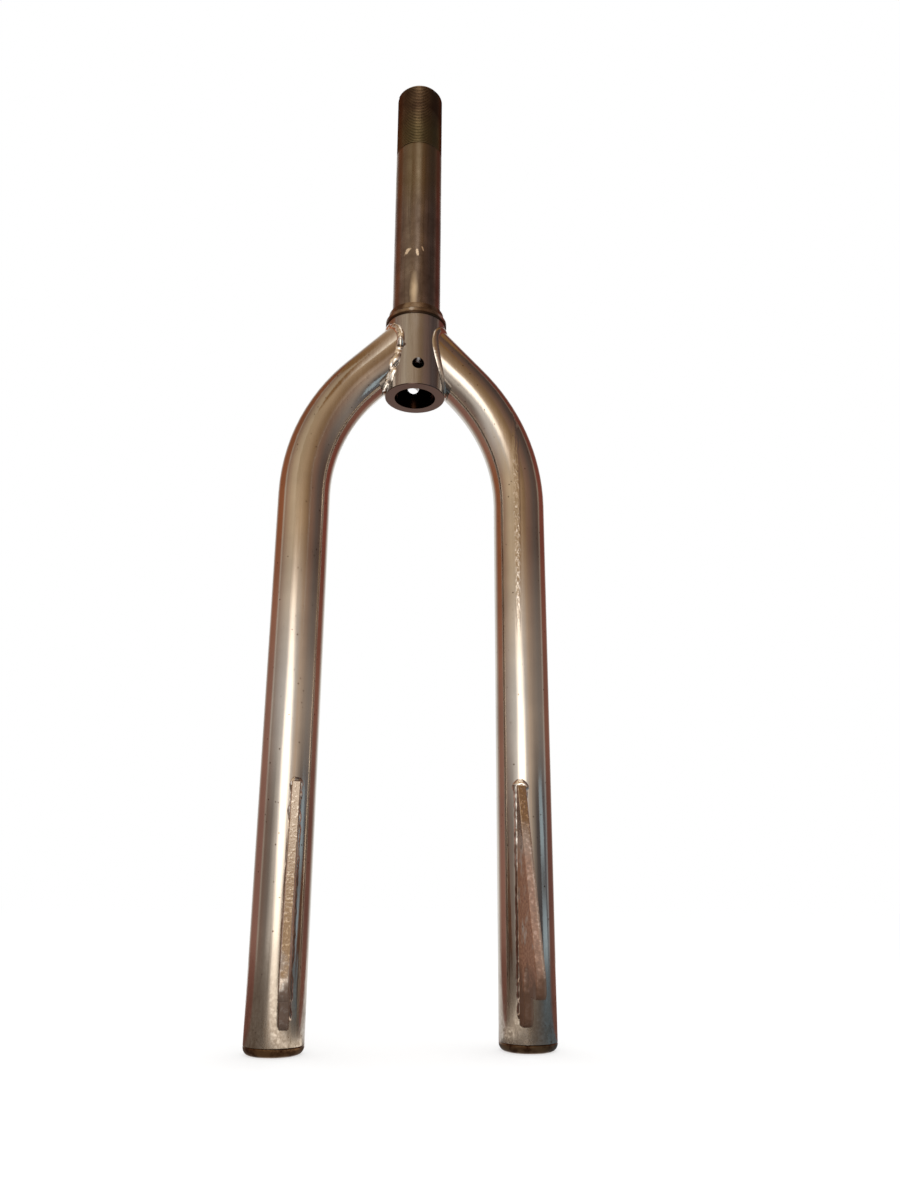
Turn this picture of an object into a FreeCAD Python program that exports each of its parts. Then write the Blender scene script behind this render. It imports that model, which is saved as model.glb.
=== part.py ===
import FreeCAD, Part
import Sketcher
import math
import os

# Bicycle fork: a threaded steerer on a thick base, two bent tube legs welded to the base, and a slotted
# axle plate welded to the front of each leg. The row frame has +Z up along the steering axis, -Y to the
# front and the origin where the crown race sits on the base. Depths below the origin are named "drop".

SIZES = [
    ("steerer_d", 25.4, "outside of the steerer, a one-inch tube"),
    ("steerer_bore", 21.15, "inside of the steerer, where the stem goes"),
    ("steerer_top", 152.5, "height of the steerer's upper end"),
    ("steerer_chamfer", 1.0, "bevel at the upper end"),
    ("thread_length", 41.0, "length of the threaded end"),
    ("thread_core_d", 24.1, "root of the thread, 24 turns to the inch"),
    ("base_d", 31.0, "outside of the thick base that the legs are welded to"),
    ("base_drop", 41.5, "lower end of the base"),
    ("base_chamfer", 0.3, "bevel at the base's upper and lower edge"),
    ("seat_d", 26.4, "seat of the crown race"),
    ("seat_height", 7.4, "height of that seat"),
    ("brake_hole_d", 6.2, "cross hole for a brake or reflector bolt"),
    ("brake_hole_drop", 29.6, "depth of the cross hole"),
    ("race_reach", 2.9, "how far the crown race's flange stands out from the seat"),
    ("race_flange", 2.6, "height of that flange"),
    ("race_lip", 1.3, "wall of the crown race at its upper edge"),
    ("race_height", 7.0, "height of the crown race"),
    ("race_bevel", 0.6, "bevel under the flange"),
    ("track_wall", 1.5, "wall of the crown race at the waist of its ball track"),
    ("track_height", 4.1, "height of that waist"),
    ("leg_spacing", 108.0, "between the axes of the two legs"),
    ("leg_d", 25.4, "outside of a leg tube"),
    ("leg_wall", 1.8, "wall of a leg tube"),
    ("bend_radius", 95.0, "bend of a leg, on its axis"),
    ("bend_angle", 44.0, "turn of the bend, in degrees"),
    ("cross_drop", 5.2, "depth where the leg axes would meet the steering axis"),
    ("foot_drop", 347.8, "lower end of a leg tube"),
    ("cap_height", 3.8, "foot cap below the tube"),
    ("cap_round", 3.2, "rounding of the foot cap, turned as three cones"),
    ("plug_length", 7.0, "plug of the foot cap inside the tube"),
    ("plug_clearance", 0.1, "between that plug and the tube's wall"),
    ("plate_gap", 96.0, "between the inner faces of the two axle plates"),
    ("plate_thick", 4.0, "thickness of an axle plate"),
    ("plate_root", 5.0, "how far the plate's back lies in front of the leg's axis"),
    ("plate_drop", 240.5, "upper end of the plate"),
    ("plate_lead", 14.6, "how far the upper end stands in front of the leg's axis"),
    ("plate_front", 46.0, "foremost edge of the plate, in front of the leg's axis"),
    ("nose_drop", 319.5, "depth where the slanted front edge ends"),
    ("axle_front", 26.4, "axle centre in front of the leg's axis"),
    ("axle_drop", 321.6, "depth of the axle centre"),
    ("axle_slot", 10.0, "width of the axle slot, for a three-eighths-inch axle"),
    ("front_tine_drop", 327.5, "lower end of the tine in front of the slot"),
    ("rear_tine_drop", 340.5, "lower end of the tine behind the slot"),
    ("front_tine_round", 3.0, "rounded corners of the front tine"),
    ("rear_tine_round", 4.5, "rounded corner of the rear tine"),
    ("plate_top_round", 2.0, "rounded upper corner of the plate"),
    ("nose_round", 8.0, "rounding where the slanted front edge ends"),
    ("crown_bead", 2.2, "height of the weld bead around a leg's upper end, on leg and base"),
    ("crown_bead_face", 1.5, "flattened ridge of that bead"),
    ("crown_ledge", 0.1, "least ledge of the base that this bead leaves free beside the leg"),
    ("race_clearance", 0.3, "between that bead and the crown race"),
    ("plate_bead", 2.0, "radius of the weld beads beside an axle plate"),
    ("cut_margin", 20.0, "how far a cutting shape runs past what it cuts"),
]

RIGHT, LEFT = 1, -1
SIDE_NAMES = {RIGHT: "right", LEFT: "left"}

doc = FreeCAD.newDocument("fork")
sheet = doc.addObject("Spreadsheet::Sheet", "sizes")
for row, (alias, value, note) in enumerate(SIZES, start=1):
    sheet.set(f"A{row}", str(value))
    sheet.setAlias(f"A{row}", alias)
    sheet.set(f"B{row}", note)
doc.recompute()


def size(alias):
    """The number in the sheet under this alias."""
    return float(sheet.get(alias))


def value_of(formula):
    """The number that a formula on the sheet's aliases gives now."""
    result = sheet.evalExpression(formula)
    return float(getattr(result, "Value", result))


def new_body(name):
    return doc.addObject("PartDesign::Body", name)


def new_sketch(body, role, name, offset=None):
    """A sketch on one of the body's own origin planes, moved along the plane's normal by a formula."""
    sketch = body.newObject("Sketcher::SketchObject", name)
    plane = next(item for item in body.Origin.OriginFeatures if item.Role == role)
    sketch.AttachmentSupport = (plane, [""])
    sketch.MapMode = "FlatFace"
    if offset:
        sketch.setExpression("AttachmentOffset.Base.z", offset)
    return sketch


def pin_point(sketch, geometry, end, across, up):
    """Holds one sketch point at two formulas; an empty formula puts the point on the sketch's own axis."""
    for kind, formula, axis in (("DistanceX", across, -2), ("DistanceY", up, -1)):
        if formula:
            value = value_of(formula)
            number = sketch.addConstraint(Sketcher.Constraint(kind, -1, 1, geometry, end, value))
            sketch.setExpression(f"Constraints[{number}]", formula)
        else:
            sketch.addConstraint(Sketcher.Constraint("PointOnObject", geometry, end, axis))


def corner(across, up):
    return FreeCAD.Vector(value_of(across) if across else 0, value_of(up) if up else 0, 0)


def draw_outline(sketch, corners):
    """A closed outline of straight edges through corners, each given as two formulas."""
    count = len(corners)
    for index in range(count):
        start = corner(*corners[index])
        finish = corner(*corners[(index + 1) % count])
        sketch.addGeometry(Part.LineSegment(start, finish), False)
    for index in range(count):
        sketch.addConstraint(Sketcher.Constraint("Coincident", index, 2, (index + 1) % count, 1))
    for index, (across, up) in enumerate(corners):
        pin_point(sketch, index, 1, across, up)


def draw_circle(sketch, across, up, diameter):
    """A circle with its centre at two formulas and its diameter from a third."""
    radius = value_of(diameter) / 2
    circle = Part.Circle(corner(across, up), FreeCAD.Vector(0, 0, 1), radius)
    geometry = sketch.addGeometry(circle, False)
    number = sketch.addConstraint(Sketcher.Constraint("Diameter", geometry, 2 * radius))
    sketch.setExpression(f"Constraints[{number}]", diameter)
    pin_point(sketch, geometry, 3, across, up)
    return geometry


def revolve(body, sketch, name, axis=None):
    """A full turn of a sketch about its own upright axis, or about a line of the sketch."""
    turned = body.newObject("PartDesign::Revolution", name)
    turned.Profile = sketch
    turned.ReferenceAxis = (sketch, [axis or "V_Axis"])
    turned.Angle = 360
    body.Tip = turned
    return turned


def cut_both_ways(body, sketch, name, length):
    """A pocket that runs half of a formula's length to each side of its sketch."""
    pocket = body.newObject("PartDesign::Pocket", name)
    pocket.Profile = sketch
    pocket.Midplane = True
    pocket.setExpression("Length", length)
    body.Tip = pocket
    return pocket


def pad(body, sketch, name, length):
    padded = body.newObject("PartDesign::Pad", name)
    padded.Profile = sketch
    padded.setExpression("Length", length)
    body.Tip = padded
    return padded


def crosswise_edges(shape, forward, drop, reach):
    """Names of the edges along X whose middle lies within reach of a point of the plate's side view."""
    names = []
    for number, edge in enumerate(shape.Edges, start=1):
        start, finish = edge.Vertexes[0].Point, edge.Vertexes[-1].Point
        along = finish - start
        if abs(along.x) < 0.9 * size("plate_thick") or math.hypot(along.y, along.z) > 1e-6:
            continue
        if math.hypot(start.y + forward, start.z + drop) < reach:
            names.append(f"Edge{number}")
    return names


def round_corner(body, name, forward, drop, radius, reach=1.0):
    """Rounds the plate corner nearest to a point of its side view."""
    doc.recompute()
    before = body.Tip
    rounded = body.newObject("PartDesign::Fillet", name)
    rounded.Base = (before, crosswise_edges(before.Shape, forward, drop, reach))
    rounded.setExpression("Radius", f"sizes.{radius}")
    body.Tip = rounded
    return rounded


# Steerer: one turned piece, with the threaded end, the plain bearing length, the seat of the crown race
# and the thick base. The thread itself is left off and its length is at the root diameter.
thread_start = "sizes.steerer_top - sizes.thread_length"
steerer = new_body("steerer_tube")
profile = new_sketch(steerer, "XZ_Plane", "steerer_profile")
draw_outline(profile, [
    ("sizes.steerer_bore / 2", "-sizes.base_drop"),
    ("sizes.base_d / 2 - sizes.base_chamfer", "-sizes.base_drop"),
    ("sizes.base_d / 2", "sizes.base_chamfer - sizes.base_drop"),
    ("sizes.base_d / 2", "-sizes.base_chamfer"),
    ("sizes.base_d / 2 - sizes.base_chamfer", ""),
    ("sizes.seat_d / 2", ""),
    ("sizes.seat_d / 2", "sizes.seat_height"),
    ("sizes.steerer_d / 2", "sizes.seat_height + (sizes.seat_d - sizes.steerer_d) / 2"),
    ("sizes.steerer_d / 2", thread_start),
    ("sizes.thread_core_d / 2", f"{thread_start} + (sizes.steerer_d - sizes.thread_core_d) / 2"),
    ("sizes.thread_core_d / 2", "sizes.steerer_top - sizes.steerer_chamfer"),
    ("sizes.thread_core_d / 2 - sizes.steerer_chamfer / 2", "sizes.steerer_top"),
    ("sizes.steerer_bore / 2", "sizes.steerer_top"),
])
revolve(steerer, profile, "steerer_turned")
hole = new_sketch(steerer, "XZ_Plane", "brake_hole_circle")
draw_circle(hole, "", "-sizes.brake_hole_drop", "sizes.brake_hole_d")
cut_both_ways(steerer, hole, "brake_hole", "sizes.base_d + sizes.cut_margin")

# Crown race: a hardened ring pressed on the seat, with a hollow ball track above a rounded flange.
race = new_body("crown_race")
profile = new_sketch(race, "XZ_Plane", "race_profile")
draw_outline(profile, [
    ("sizes.seat_d / 2", ""),
    ("sizes.seat_d / 2 + sizes.race_reach - sizes.race_bevel", ""),
    ("sizes.seat_d / 2 + sizes.race_reach", "sizes.race_bevel"),
    ("sizes.seat_d / 2 + sizes.race_reach", "sizes.race_flange"),
    ("sizes.seat_d / 2 + sizes.track_wall", "sizes.track_height"),
    ("sizes.seat_d / 2 + sizes.race_lip", "sizes.race_height"),
    ("sizes.seat_d / 2", "sizes.race_height"),
])
revolve(race, profile, "race_turned")


def make_leg(side):
    """A leg: one tube, bent inwards at the top and cut to fit around the base."""
    word = SIDE_NAMES[side]
    axis_x = f"{side} * sizes.leg_spacing / 2"
    bend_x = f"{side} * (sizes.leg_spacing / 2 - sizes.bend_radius * (1 - cos(sizes.bend_angle * 1 deg)))"
    run_up = "(sizes.leg_spacing / 2 - sizes.bend_radius * (1 - cos(sizes.bend_angle * 1 deg)))"
    bend_z = f"-sizes.cross_drop - {run_up} / tan(sizes.bend_angle * 1 deg)"
    straight_z = f"{bend_z} - sizes.bend_radius * sin(sizes.bend_angle * 1 deg)"
    centre_x = f"{side} * (sizes.leg_spacing / 2 - sizes.bend_radius)"

    body = new_body(f"leg_{word}")
    spine = new_sketch(body, "XZ_Plane", f"leg_{word}_axis")
    foot = corner(axis_x, "-sizes.foot_drop")
    bend_start = corner(axis_x, straight_z)
    bend_end = corner(bend_x, bend_z)
    centre = corner(centre_x, straight_z)
    top = corner("", "-sizes.cross_drop")
    start_angle = math.atan2(bend_start.y - centre.y, bend_start.x - centre.x)
    end_angle = math.atan2(bend_end.y - centre.y, bend_end.x - centre.x)
    first, last = (start_angle, end_angle) if side == RIGHT else (end_angle, start_angle)
    circle = Part.Circle(centre, FreeCAD.Vector(0, 0, 1), size("bend_radius"))
    arc_start, arc_end = (1, 2) if side == RIGHT else (2, 1)
    spine.addGeometry(Part.LineSegment(foot, bend_start), False)
    spine.addGeometry(Part.ArcOfCircle(circle, first, last), False)
    spine.addGeometry(Part.LineSegment(bend_end, top), False)
    spine.addConstraint(Sketcher.Constraint("Coincident", 0, 2, 1, arc_start))
    spine.addConstraint(Sketcher.Constraint("Coincident", 1, arc_end, 2, 1))
    pin_point(spine, 0, 1, axis_x, "-sizes.foot_drop")
    pin_point(spine, 0, 2, axis_x, straight_z)
    pin_point(spine, 1, 3, centre_x, straight_z)
    pin_point(spine, 2, 2, "", "-sizes.cross_drop")
    number = spine.addConstraint(Sketcher.Constraint("DistanceX", -1, 1, 2, 1, bend_end.x))
    spine.setExpression(f"Constraints[{number}]", bend_x)

    ring = new_sketch(body, "XY_Plane", f"leg_{word}_section", "-sizes.foot_drop")
    draw_circle(ring, axis_x, "", "sizes.leg_d")
    draw_circle(ring, axis_x, "", "sizes.leg_d - 2 * sizes.leg_wall")
    tube = body.newObject("PartDesign::AdditivePipe", f"leg_{word}_tube")
    tube.Profile = ring
    tube.Spine = (spine, [])
    body.Tip = tube

    mouth = new_sketch(body, "XY_Plane", f"leg_{word}_mouth")
    draw_circle(mouth, "", "", "sizes.base_d")
    cut_both_ways(body, mouth, f"leg_{word}_cope", "2 * (sizes.base_drop + sizes.cut_margin)")
    return body


def make_cap(side):
    """A foot cap: a turned plug, seated on the tube's lower end, with a rounded rim."""
    word = SIDE_NAMES[side]
    body = new_body(f"foot_cap_{word}")
    profile = new_sketch(body, "XZ_Plane", f"foot_cap_{word}_profile")
    axis_x = f"{side} * sizes.leg_spacing / 2"
    rim_x = f"{side} * (sizes.leg_spacing / 2 + sizes.leg_d / 2)"
    rim = [
        (f"{rim_x} - {side} * sizes.cap_round * (1 - sin({turn} deg))",
         f"sizes.cap_round * (1 - cos({turn} deg)) - sizes.foot_drop - sizes.cap_height")
        for turn in (0, 30, 60, 90)
    ]
    plug_x = f"{side} * (sizes.leg_spacing / 2 + sizes.leg_d / 2 - sizes.leg_wall - sizes.plug_clearance)"
    draw_outline(profile, [
        (axis_x, "-sizes.foot_drop - sizes.cap_height"),
        *rim,
        (rim_x, "-sizes.foot_drop"),
        (plug_x, "-sizes.foot_drop"),
        (plug_x, "sizes.plug_length - sizes.foot_drop"),
        (axis_x, "sizes.plug_length - sizes.foot_drop"),
    ])
    revolve(body, profile, f"foot_cap_{word}_turned", f"Edge{profile.GeometryCount}")
    return body


def make_plate(side):
    """An axle plate: cut from flat bar, slotted from below and cut to sit on the round front of its leg."""
    word = SIDE_NAMES[side]
    body = new_body(f"dropout_{word}")
    near = "sizes.plate_gap / 2" if side == RIGHT else "-sizes.plate_gap / 2 - sizes.plate_thick"
    outline = new_sketch(body, "YZ_Plane", f"dropout_{word}_outline", near)
    draw_outline(outline, [
        ("-sizes.plate_root", "-sizes.plate_drop"),
        ("-sizes.plate_lead", "-sizes.plate_drop"),
        ("-sizes.plate_front", "-sizes.nose_drop"),
        ("-sizes.plate_front", "-sizes.front_tine_drop"),
        ("-sizes.axle_front", "-sizes.front_tine_drop"),
        ("-sizes.axle_front", "-sizes.rear_tine_drop"),
        ("-sizes.plate_root", "-sizes.rear_tine_drop"),
    ])
    pad(body, outline, f"dropout_{word}_bar", "sizes.plate_thick")

    through = "2 * sizes.plate_thick + 2 * sizes.plate_gap"
    crown = new_sketch(body, "YZ_Plane", f"dropout_{word}_slot_crown", near)
    draw_circle(crown, "-sizes.axle_front", "-sizes.axle_drop", "sizes.axle_slot")
    cut_both_ways(body, crown, f"dropout_{word}_slot_end", through)
    mouth = new_sketch(body, "YZ_Plane", f"dropout_{word}_slot_sides", near)
    draw_outline(mouth, [
        ("-sizes.axle_front - sizes.axle_slot / 2", "-sizes.axle_drop"),
        ("-sizes.axle_front - sizes.axle_slot / 2", "-sizes.rear_tine_drop - sizes.cut_margin"),
        ("sizes.axle_slot / 2 - sizes.axle_front", "-sizes.rear_tine_drop - sizes.cut_margin"),
        ("sizes.axle_slot / 2 - sizes.axle_front", "-sizes.axle_drop"),
    ])
    cut_both_ways(body, mouth, f"dropout_{word}_slot", through)

    slot_front = size("axle_front") + size("axle_slot") / 2
    slot_rear = size("axle_front") - size("axle_slot") / 2
    round_corner(body, f"dropout_{word}_tip", size("plate_lead"), size("plate_drop"), "plate_top_round")
    round_corner(body, f"dropout_{word}_nose", size("plate_front"), size("nose_drop"), "nose_round")
    front_tine = size("front_tine_drop")
    round_corner(body, f"dropout_{word}_tine_a", size("plate_front"), front_tine, "front_tine_round")
    round_corner(body, f"dropout_{word}_tine_b", slot_front, front_tine, "front_tine_round")
    round_corner(body, f"dropout_{word}_tine_c", slot_rear, size("rear_tine_drop"), "rear_tine_round")

    seat = new_sketch(body, "XY_Plane", f"dropout_{word}_seat_circle", "-sizes.rear_tine_drop")
    draw_circle(seat, f"{side} * sizes.leg_spacing / 2", "", "sizes.leg_d")
    cut_both_ways(body, seat, f"dropout_{word}_seat", "4 * sizes.rear_tine_drop")
    return body


def add_bar(name, radius, length, at, axis=None, turn=None):
    """A round bar; its radius, length, start point and turn about an axis are formulas."""
    bar = doc.addObject("Part::Cylinder", name)
    if axis:
        bar.Placement = FreeCAD.Placement(FreeCAD.Vector(), FreeCAD.Rotation(axis, value_of(turn)))
        bar.setExpression("Placement.Rotation.Angle", turn)
    bar.setExpression("Radius", radius)
    bar.setExpression("Height", length)
    for letter, formula in zip("xyz", at):
        if formula:
            bar.setExpression(f"Placement.Base.{letter}", formula)
    return bar


def combine(kind, name, base, tool):
    """A cut or a common shape of two objects."""
    made = doc.addObject(f"Part::{kind}", name)
    made.Base = base
    made.Tool = tool
    return made


def make_crown_bead(side):
    """The weld around a leg's upper end: what lies close to both leg and base, with its ridge flattened.

    The bead is no higher than the ledge that the base leaves beside the leg.
    """
    word = SIDE_NAMES[side]
    height = "min(sizes.crown_bead; (sizes.base_d - sizes.leg_d) / 2 - sizes.crown_ledge)"
    sideways = FreeCAD.Vector(0, side, 0)
    lean = "180 - sizes.bend_angle"
    cross = ("", "", "-sizes.cross_drop")
    near_leg = f"sizes.leg_d / 2 + {height}"
    wide_leg = add_bar(f"crown_{word}_wide_leg", near_leg, "sizes.leg_spacing", cross, sideways, lean)
    leg_bar = add_bar(f"crown_{word}_leg_bar", "sizes.leg_d / 2", "sizes.leg_spacing", cross, sideways, lean)
    wide_base = add_bar(f"crown_{word}_wide_base", f"sizes.base_d / 2 + {height}",
                        "sizes.base_drop - sizes.race_clearance", ("", "", "-sizes.base_drop"))
    base_bar = add_bar(f"crown_{word}_base_bar", "sizes.base_d / 2", "sizes.base_drop + 2 * sizes.cut_margin",
                       ("", "", "-sizes.base_drop - sizes.cut_margin"))
    near = combine("Common", f"crown_{word}_near_both", wide_leg, wide_base)
    off_leg = combine("Cut", f"crown_{word}_off_leg", near, leg_bar)
    square = combine("Cut", f"crown_{word}_square_bead", off_leg, base_bar)
    doc.recompute()

    outward = FreeCAD.Rotation(sideways, value_of(lean)).multVec(FreeCAD.Vector(0, 0, 1))
    start = FreeCAD.Vector(0, 0, -size("cross_drop"))
    from_base = size("base_d") / 2 + value_of(height)
    from_leg = size("leg_d") / 2 + value_of(height)
    flat = size("crown_bead_face") * value_of(height) / size("crown_bead")
    ridge = []
    for number, edge in enumerate(square.Shape.Edges, start=1):
        middle = edge.valueAt((edge.FirstParameter + edge.LastParameter) / 2)
        beside = (middle - start).cross(outward).Length
        if abs(math.hypot(middle.x, middle.y) - from_base) < 0.01 and abs(beside - from_leg) < 0.01:
            ridge.append((number, flat, flat))
    bead = doc.addObject("Part::Chamfer", f"crown_weld_{word}")
    bead.Base = square
    bead.Edges = ridge
    return bead


def make_plate_bead(side, plate):
    """The welds beside an axle plate: one bead along each face of the plate, joined over its upper end."""
    word = SIDE_NAMES[side]
    inner = "((sizes.leg_spacing - sizes.plate_gap) / 2)"
    outer = f"({inner} - sizes.plate_thick)"
    middle = f"({inner} - sizes.plate_thick / 2)"
    on_leg = "-sqrt((sizes.leg_d / 2) ^ 2 - {0} ^ 2)"
    low = "sizes.rear_tine_round - sizes.rear_tine_drop"
    length = "sizes.rear_tine_drop - sizes.rear_tine_round - sizes.plate_drop"
    pieces = []
    for place, offset in (("inner", inner), ("outer", outer)):
        at_x = f"{side} * (sizes.leg_spacing / 2 - {offset})"
        at_y = on_leg.format(offset)
        pieces.append(add_bar(f"dropout_{word}_{place}_bar", "sizes.plate_bead", length, (at_x, at_y, low)))
        for end, level in (("top", "-sizes.plate_drop"), ("end", low)):
            ball = doc.addObject("Part::Sphere", f"dropout_{word}_{place}_{end}")
            ball.setExpression("Radius", "sizes.plate_bead")
            for letter, formula in zip("xyz", (at_x, at_y, level)):
                ball.setExpression(f"Placement.Base.{letter}", formula)
            pieces.append(ball)
    bridge_at = (f"{side} * sizes.plate_gap / 2", on_leg.format(middle), "-sizes.plate_drop")
    pieces.append(add_bar(f"dropout_{word}_bridge_bar", "sizes.plate_bead", "sizes.plate_thick", bridge_at,
                          FreeCAD.Vector(0, side, 0), "90"))
    joined = doc.addObject("Part::MultiFuse", f"dropout_{word}_beads")
    joined.Shapes = pieces
    leg_bar = add_bar(f"dropout_{word}_leg_bar", "sizes.leg_d / 2",
                      "sizes.foot_drop - sizes.plate_drop + sizes.cut_margin",
                      (f"{side} * sizes.leg_spacing / 2", "", "-sizes.foot_drop"))
    off_leg = combine("Cut", f"dropout_{word}_beads_off_leg", joined, leg_bar)
    return combine("Cut", f"dropout_weld_{word}", off_leg, plate)


nodes = {"steerer_tube": steerer, "crown_race": race}
for side in (LEFT, RIGHT):
    word = SIDE_NAMES[side]
    plate = make_plate(side)
    nodes[f"leg_{word}"] = make_leg(side)
    nodes[f"foot_cap_{word}"] = make_cap(side)
    nodes[f"dropout_{word}"] = plate
    nodes[f"crown_weld_{word}"] = make_crown_bead(side)
    nodes[f"dropout_weld_{word}"] = make_plate_bead(side, plate)

doc.recompute()
for item in doc.Objects:
    if "Invalid" in item.State or "Error" in item.State:
        raise RuntimeError(f"{item.Name} did not build: {item.State}")
os.makedirs("parts", exist_ok=True)
for name, item in nodes.items():
    shape = item.Shape
    if shape.isNull() or not shape.isValid() or not shape.Solids:
        raise RuntimeError(f"{name} is not a sound solid")
    shape.exportStep(f"parts/{name}.step")
    print(name, "solids", len(shape.Solids), "volume", round(shape.Volume, 1))
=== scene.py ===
import math

import bmesh
import bpy
from mathutils import Matrix, Vector


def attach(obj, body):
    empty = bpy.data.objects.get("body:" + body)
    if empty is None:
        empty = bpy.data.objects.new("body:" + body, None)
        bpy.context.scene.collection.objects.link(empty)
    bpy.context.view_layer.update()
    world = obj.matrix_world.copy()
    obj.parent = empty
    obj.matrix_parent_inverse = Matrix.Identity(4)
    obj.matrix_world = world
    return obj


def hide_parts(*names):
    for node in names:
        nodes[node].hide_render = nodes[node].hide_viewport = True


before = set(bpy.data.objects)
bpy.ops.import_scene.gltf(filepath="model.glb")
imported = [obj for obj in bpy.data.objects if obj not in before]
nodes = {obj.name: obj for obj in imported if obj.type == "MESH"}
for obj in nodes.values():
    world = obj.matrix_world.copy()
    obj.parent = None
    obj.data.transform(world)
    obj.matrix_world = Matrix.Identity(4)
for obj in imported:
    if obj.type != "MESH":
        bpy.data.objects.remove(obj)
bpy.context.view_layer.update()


# Steerer tube: a steel tube with its thick base and the seat of the crown race, turned as one piece and
# drilled across the base. Use has worn its plating dull and brown, and the thread has lost it.
MM = 0.001


def linear(code):
    """A written sRGB hex colour as the linear colour that a socket takes."""
    parts = [int(code[place:place + 2], 16) / 255 for place in (0, 2, 4)]
    straight = [part / 12.92 if part <= 0.04045 else ((part + 0.055) / 1.055) ** 2.4 for part in parts]
    return (*straight, 1.0)


def add(tree, kind, feeds, **settings):
    """Adds a node with its own settings; each feed is an input's value or the socket that drives it."""
    node = tree.nodes.new(kind)
    for name, value in settings.items():
        setattr(node, name, value)
    for name, value in feeds.items():
        if isinstance(value, bpy.types.NodeSocket):
            tree.links.new(value, node.inputs[name])
        else:
            node.inputs[name].default_value = value
    return node


def new_finish(name):
    """A metal's material with its node tree, its shader and the place on the fork, in metres."""
    finish = bpy.data.materials.new(name)
    finish.use_nodes = True
    tree = finish.node_tree
    shader = tree.nodes["Principled BSDF"]
    shader.inputs["Metallic"].default_value = 1.0
    return finish, tree, shader, add(tree, "ShaderNodeTexCoord", {}).outputs["Object"]


# Worn chrome on drawn steel: brown and satin, streaked along the tube and olive below the thread. The
# streaks are drawn coarser than the real hairlines, so that they show.
worn_chrome, tree, shader, place = new_finish("worn_chrome_on_steel")
where = add(tree, "ShaderNodeSeparateXYZ", {0: place}).outputs
drawn = add(tree, "ShaderNodeMapping",
            {"Vector": place, "Scale": (1 / (1.6 * MM), 1 / (1.6 * MM), 1 / (45 * MM))})
streaks = add(tree, "ShaderNodeTexNoise", {"Vector": drawn.outputs[0], "Scale": 1.0, "Detail": 3.0})
smudges = add(tree, "ShaderNodeTexNoise",
              {"Vector": place, "Scale": 1 / (14 * MM), "Detail": 4.0, "Roughness": 0.6})
patchy = add(tree, "ShaderNodeMapRange", {0: smudges.outputs[0], 1: 0.36, 2: 0.66})
plain = add(tree, "ShaderNodeMix", {0: patchy.outputs[0], 6: linear("6c6058"), 7: linear("938880")},
            data_type="RGBA")
lines = add(tree, "ShaderNodeMapRange", {0: streaks.outputs[0], 1: 0.5, 2: 0.72, 4: 0.5})
streaked = add(tree, "ShaderNodeMix", {0: lines.outputs[0], 6: plain.outputs[2], 7: linear("46392f")},
               data_type="RGBA")
olive = add(tree, "ShaderNodeMapRange", {0: where["Z"], 1: 66 * MM, 2: 86 * MM, 4: 0.6})
dulled = add(tree, "ShaderNodeMix", {0: olive.outputs[0], 6: streaked.outputs[2], 7: linear("7d7055")},
             data_type="RGBA")
# The base below the race is greyer and glossier.
under_race = add(tree, "ShaderNodeMapRange", {0: where["Z"], 1: 1 * MM, 2: -1 * MM})
base = add(tree, "ShaderNodeMix", {0: lines.outputs[0], 6: linear("aaa7a6"), 7: linear("7d726c")},
           data_type="RGBA")
on_base = add(tree, "ShaderNodeMix", {0: under_race.outputs[0], 6: dulled.outputs[2], 7: base.outputs[2]},
              data_type="RGBA")
# A ragged pale streak above the race is a rub with a painted highlight in it, and three short knocks higher
# up show bright.
TUBE_FRONT = -12.0 * MM
FRONT_REACH = 9 * MM
rub_highlight_place = add(tree, "ShaderNodeMapping",
                {"Vector": place, "Location": (-2.6 * MM, TUBE_FRONT, 15 * MM),
                 "Scale": (2.4 * MM, FRONT_REACH, 15 * MM)}, vector_type="TEXTURE")
rub_highlight_away = add(tree, "ShaderNodeVectorMath", {0: rub_highlight_place.outputs[0]}, operation="LENGTH")
rub_highlight_ragged = add(tree, "ShaderNodeMath", {0: smudges.outputs[0], 1: 1.5, 2: rub_highlight_away.outputs["Value"]},
                 operation="MULTIPLY_ADD")
rub_and_highlight = add(tree, "ShaderNodeMapRange", {0: rub_highlight_ragged.outputs[0], 1: 1.7, 2: 0.8, 4: 0.9})
colour = add(tree, "ShaderNodeMix", {0: rub_and_highlight.outputs[0], 6: on_base.outputs[2], 7: linear("e2d7c4")},
             data_type="RGBA").outputs[2]
chips = add(tree, "ShaderNodeTexNoise", {"Vector": place, "Scale": 1 / (1.4 * MM), "Detail": 3.0})
for x, z, tilt, wide, long in (
        (-6.5, 40.4, 36, 1.1, 2.8),
        (-1.2, 39.4, -6, 0.9, 2.8),
        (1.6, 41.8, -20, 0.5, 1.9)):
    stroke = add(tree, "ShaderNodeMapping",
                 {"Vector": place, "Location": (x * MM, TUBE_FRONT, z * MM),
                  "Rotation": (0, math.radians(tilt), 0), "Scale": (wide * MM, FRONT_REACH, long * MM)},
                 vector_type="TEXTURE")
    away = add(tree, "ShaderNodeVectorMath", {0: stroke.outputs[0]}, operation="LENGTH")
    ragged = add(tree, "ShaderNodeMath", {0: chips.outputs[0], 1: 1.6, 2: away.outputs["Value"]},
                 operation="MULTIPLY_ADD")
    knock = add(tree, "ShaderNodeMapRange", {0: ragged.outputs[0], 1: 1.75, 2: 1.4})
    colour = add(tree, "ShaderNodeMix", {0: knock.outputs[0], 6: colour, 7: linear("f0e6d8")},
                 data_type="RGBA").outputs[2]
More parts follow.
